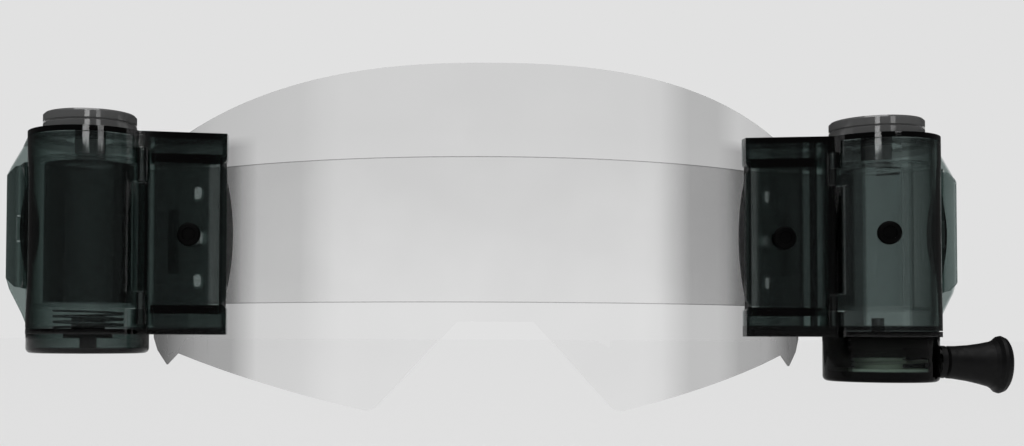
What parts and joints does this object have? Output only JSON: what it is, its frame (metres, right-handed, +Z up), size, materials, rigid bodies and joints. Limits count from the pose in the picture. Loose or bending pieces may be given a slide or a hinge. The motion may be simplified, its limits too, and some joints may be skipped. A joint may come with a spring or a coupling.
{
  "type": "roll-off film kit for motocross goggles",
  "caption": "Curved clear lens with a film canister at each end, a strip of clear film wound across it, hinged canister doors and a pull cord that winds the film on.",
  "frame": {"origin": "middle of the lens front face, on the film's centre line", "axes": "+X to the right as the viewer sees the kit, +Y away from the viewer towards the wearer's face, +Z up"},
  "size_m": [0.2643, 0.0467, 0.0861],
  "materials": {
    "clear_lens": "clear polycarbonate, gloss",
    "clear_film": "clear polyester film, gloss",
    "smoke_shell": "smoke-tinted clear polycarbonate",
    "smoke_door": "smoke-tinted clear polycarbonate",
    "grey_knob": "grey-tinted clear plastic",
    "core_plastic": "dark moulded plastic",
    "pale_plastic": "pale greenish acetal",
    "black_plastic": "black moulded nylon, satin",
    "black_rubber": "black rubber, matt",
    "cord_nylon": "pale braided cord",
    "pin_steel": "ground steel",
    "spring_steel": "spring steel"
  },
  "bodies": {
    "frame": {"lens": "clear_lens", "film": "clear_film", "left_base": "smoke_shell", "left_hinge_pin": "pin_steel", "left_lower_pin": "pin_steel", "left_guide_pin": "pin_steel", "left_wiper": "black_rubber", "left_stud": "black_plastic", "left_cap": "smoke_shell", "split_pivot": "black_plastic", "drag_spring": "spring_steel", "right_base": "smoke_shell", "right_hinge_pin": "pin_steel", "right_lower_pin": "pin_steel", "right_guide_pin": "pin_steel", "right_wiper": "black_rubber", "right_stud": "black_plastic", "cord_housing": "smoke_shell", "cord_spindle": "pin_steel", "recoil_spring": "spring_steel", "cord_guide": "black_rubber"},
    "left_door": {"left_door": "smoke_door"},
    "right_door": {"right_door": "smoke_door", "door_stud": "black_plastic"},
    "supply_reel": {"supply_core": "core_plastic", "supply_roll": "clear_film", "left_knob": "grey_knob"},
    "takeup_reel": {"takeup_core": "core_plastic", "takeup_roll": "clear_film", "right_knob": "grey_knob", "ratchet_wheel": "pale_plastic"},
    "cord_reel": {"cord_reel": "pale_plastic", "cord_winding": "cord_nylon", "pawl_ring": "pale_plastic"},
    "pull": {"pull_knob": "black_rubber", "cord_knot": "cord_nylon", "cord_lead": "cord_nylon"}
  },
  "joints": [
    {"name": "left_door_hinge", "type": "hinge", "parent": "frame", "child": "left_door", "pos_m": [-0.0893, 0.014, 0], "axis": [0, 0, 1], "range_deg": [0, 110]},
    {"name": "right_door_hinge", "type": "hinge", "parent": "frame", "child": "right_door", "pos_m": [0.0893, 0.014, 0], "axis": [0, 0, -1], "range_deg": [0, 110]},
    {"name": "takeup_turn", "type": "hinge", "parent": "frame", "child": "takeup_reel", "pos_m": [0.1042, 0.022, 0], "axis": [0, 0, -1], "continuous": true},
    {"name": "supply_turn", "type": "hinge", "parent": "frame", "child": "supply_reel", "pos_m": [-0.1042, 0.022, 0], "axis": [0, 0, -1], "continuous": true},
    {"name": "cord_pull", "type": "slide", "parent": "frame", "child": "pull", "axis": [0.9893, -0.139, -0.0436], "range_m": [0, 0.12], "stiffness_N_per_m": 10, "springref_m": -0.15, "deforming": ["cord_lead"]},
    {"name": "cord_reel_turn", "type": "hinge", "parent": "frame", "child": "cord_reel", "pos_m": [0.1042, 0.022, 0], "axis": [0, 0, -1], "range_deg": [0, 1070]}
  ],
  "couplings": [
    {"joint": "supply_turn", "follows": "takeup_turn", "ratio": 0.78261},
    {"joint": "cord_reel_turn", "follows": "cord_pull", "rad_per_m": 155.04}
  ]
}
